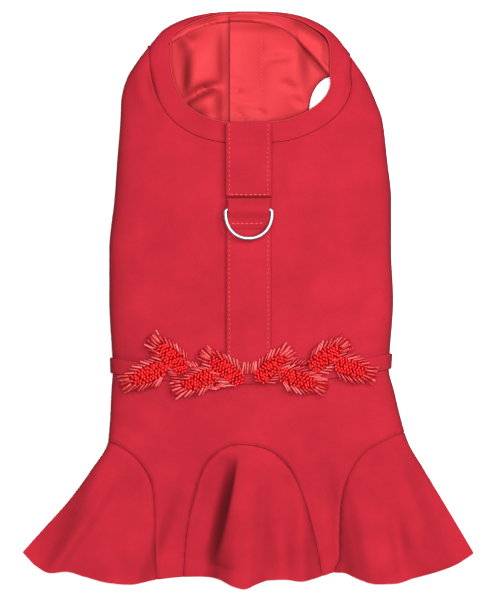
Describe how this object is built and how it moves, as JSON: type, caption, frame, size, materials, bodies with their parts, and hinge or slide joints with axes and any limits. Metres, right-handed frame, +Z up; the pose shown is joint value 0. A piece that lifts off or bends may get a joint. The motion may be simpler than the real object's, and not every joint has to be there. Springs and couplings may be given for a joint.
{
  "type": "dog dress",
  "caption": "Sleeveless dog dress with flared godet skirt, narrow belt with beaded leaves, back strap and leash D-ring, lying flat with its back up",
  "frame": {"origin": "centre of the bounding box's underside, on the surface that the dress lies on", "axes": "+X to the right seen from above, +Y toward the neck, +Z up out of the back"},
  "size_m": [0.248, 0.3166, 0.0217],
  "materials": {
    "felted_wool": "matt red felted wool with a short nap",
    "satin": "red satin with a soft sheen",
    "beads": "glossy orange-red seed and bugle beads",
    "steel": "polished steel wire"
  },
  "bodies": {
    "dress": {"back_panel": "felted_wool", "godet_left": "felted_wool", "godet_centre": "felted_wool", "godet_right": "felted_wool", "neckband": "felted_wool", "neckband_chest": "felted_wool", "chest_flap_left": "felted_wool", "chest_flap_right": "felted_wool", "centre_strap": "felted_wool", "upper_strap": "felted_wool", "ring_loop": "felted_wool", "belt": "felted_wool", "neck_facing": "satin", "lining_left": "satin", "lining_right": "satin", "leaf_left_1": "beads", "leaf_left_2": "beads", "leaf_left_3": "beads", "leaf_left_4": "beads", "leaf_right_1": "beads", "leaf_right_2": "beads", "leaf_right_3": "beads", "leaf_right_4": "beads"},
    "ring": {"d_ring": "steel"}
  },
  "joints": [
    {"name": "ring_pivot", "type": "hinge", "parent": "dress", "child": "ring", "pos_m": [0.0005, 0.04895, 0.0182], "axis": [-1, 0, 0], "range_deg": [0, 150]}
  ]
}
